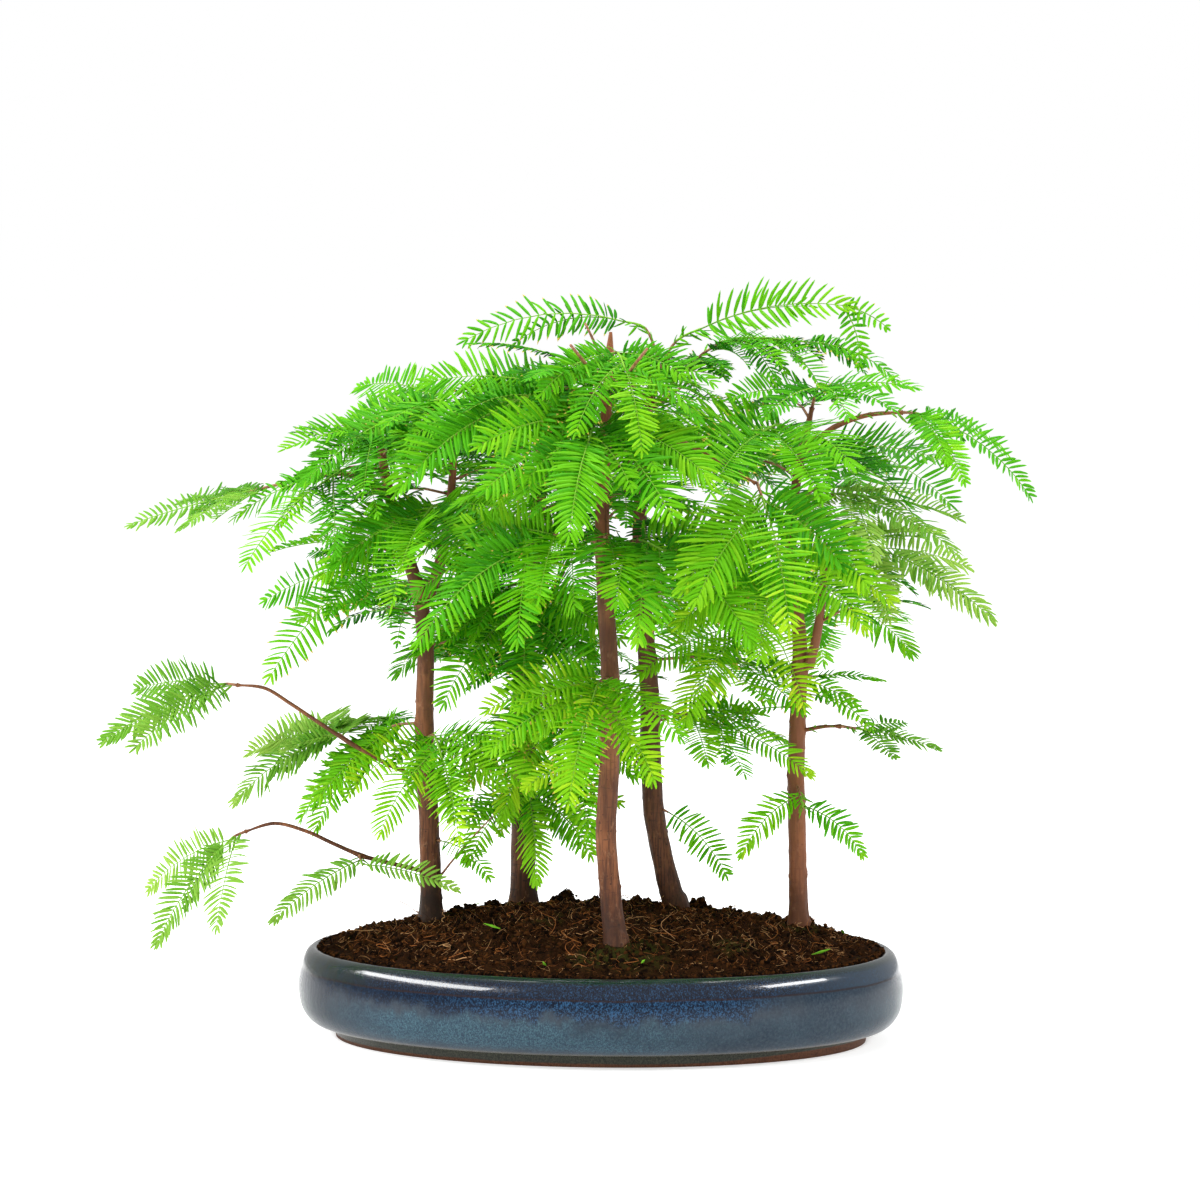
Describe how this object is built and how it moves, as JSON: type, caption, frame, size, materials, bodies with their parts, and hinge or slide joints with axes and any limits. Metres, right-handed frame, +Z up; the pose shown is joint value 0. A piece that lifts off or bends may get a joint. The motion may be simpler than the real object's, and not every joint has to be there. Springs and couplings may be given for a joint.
{
  "type": "dawn redwood bonsai forest in an oval pot",
  "caption": "Bonsai forest of slender young dawn redwoods with feathery green sprays, planted in dark soil in a low oval blue-glazed pot.",
  "frame": {"origin": "centre of the pot's flat underside, at the level that the pot stands on", "axes": "+X along the pot's length, +Y to its back, +Z up"},
  "size_m": [0.5432, 0.4083, 0.4542],
  "materials": {
    "glaze": "glossy",
    "soil": "rough",
    "bark": "rough",
    "foliage": "satin"
  },
  "bodies": {
    "root": {"pot": "glaze", "soil": "soil", "trunk_left": "bark", "trunk_rear": "bark", "trunk_front": "bark", "trunk_middle": "bark", "trunk_right": "bark", "left_leader": "bark", "right_leader": "bark", "left_upper_bough": "bark", "left_thin_bough": "bark", "left_low_bough": "bark", "front_arching_bough": "bark", "right_upper_bough": "bark", "right_low_bough": "bark", "left_top": "foliage", "left_crown": "foliage", "left_far": "foliage", "left_upper": "foliage", "left_shoulder": "foliage", "left_front": "foliage", "left_inner": "foliage", "left_lower_front": "foliage", "left_thin_tip": "foliage", "left_thin_middle": "foliage", "left_low_tip": "foliage", "left_low_middle": "foliage", "left_back": "foliage", "rear_top": "foliage", "rear_left": "foliage", "rear_back_high": "foliage", "rear_back_low": "foliage", "rear_front": "foliage", "rear_lower_front": "foliage", "rear_low": "foliage", "front_top": "foliage", "front_left_high": "foliage", "front_forward": "foliage", "front_left": "foliage", "front_right": "foliage", "front_low": "foliage", "front_arch_tip": "foliage", "middle_top_left": "foliage", "middle_top_right": "foliage", "middle_right_high": "foliage", "middle_back": "foliage", "middle_back_low": "foliage", "middle_right": "foliage", "middle_low": "foliage", "right_top": "foliage", "right_upper_tip": "foliage", "right_side": "foliage", "right_lower_side": "foliage", "right_front_high": "foliage", "right_front": "foliage", "right_front_low": "foliage", "right_back": "foliage", "right_back_low": "foliage", "right_low_tip": "foliage", "right_low": "foliage"}
  },
  "joints": []
}
